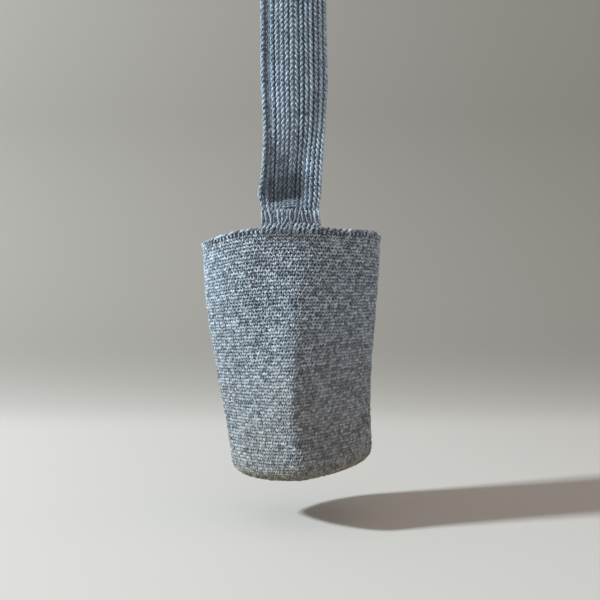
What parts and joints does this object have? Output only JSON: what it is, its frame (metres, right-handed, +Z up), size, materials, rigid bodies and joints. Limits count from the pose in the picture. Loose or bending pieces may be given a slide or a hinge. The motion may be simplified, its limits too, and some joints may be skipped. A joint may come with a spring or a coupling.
{
  "type": "shoulder bag",
  "caption": "Bucket-shaped crocheted wool bag with an open mouth, hanging from one wide strap of twisted wool cords sewn to the front and back of its edging.",
  "frame": {"origin": "the highest point under the strap, where a peg or a shoulder carries it", "axes": "+Z up along the hanging strap, +X across the strap, the front of the bag faces -Y"},
  "size_m": [0.2083, 0.1498, 0.8289],
  "materials": {
    "wool_wall": "marled grey-blue wool in tight crochet, matt",
    "wool_base": "marled grey-blue wool in tight crochet, matt",
    "wool_edging": "thick chain stitches of grey-blue wool, matt",
    "wool_cord": "twisted two-ply wool cord, matt, a little fuzzy",
    "wool_binding": "pale grey-blue wool yarn, matt"
  },
  "bodies": {
    "crown": {"crown_band": "wool_cord"},
    "strap": {"front_crown_bend": "wool_cord", "front_rim_bend": "wool_cord", "rear_crown_bend": "wool_cord", "rear_rim_bend": "wool_cord", "front_cord_01": "wool_cord", "front_cord_02": "wool_cord", "front_cord_03": "wool_cord", "front_cord_04": "wool_cord", "front_cord_05": "wool_cord", "front_cord_06": "wool_cord", "front_cord_07": "wool_cord", "front_cord_08": "wool_cord", "front_cord_09": "wool_cord", "front_cord_10": "wool_cord", "front_cord_11": "wool_cord", "front_cord_12": "wool_cord", "front_cord_13": "wool_cord", "front_cord_14": "wool_cord", "rear_cord_01": "wool_cord", "rear_cord_02": "wool_cord", "rear_cord_03": "wool_cord", "rear_cord_04": "wool_cord", "rear_cord_05": "wool_cord", "rear_cord_06": "wool_cord", "rear_cord_07": "wool_cord", "rear_cord_08": "wool_cord", "rear_cord_09": "wool_cord", "rear_cord_10": "wool_cord", "rear_cord_11": "wool_cord", "rear_cord_12": "wool_cord", "rear_cord_13": "wool_cord", "rear_cord_14": "wool_cord"},
    "bag": {"bag_wall": "wool_wall", "base_round": "wool_base", "mouth_edging": "wool_edging", "front_tab": "wool_cord", "front_binding": "wool_binding", "front_lashing": "wool_binding", "rear_tab": "wool_cord", "rear_binding": "wool_binding", "rear_lashing": "wool_binding"}
  },
  "joints": [
    {"name": "strap_swing", "type": "hinge", "parent": "crown", "child": "strap", "pos_m": [0, 0, -0.012], "axis": [1, 0, 0], "range_deg": [-60, 60], "deforming": ["front_crown_bend", "rear_crown_bend"]},
    {"name": "bag_tip", "type": "hinge", "parent": "strap", "child": "bag", "pos_m": [0.004, 0, -0.494], "axis": [0, 1, 0], "range_deg": [-25, 25], "deforming": ["front_rim_bend", "rear_rim_bend"]}
  ]
}
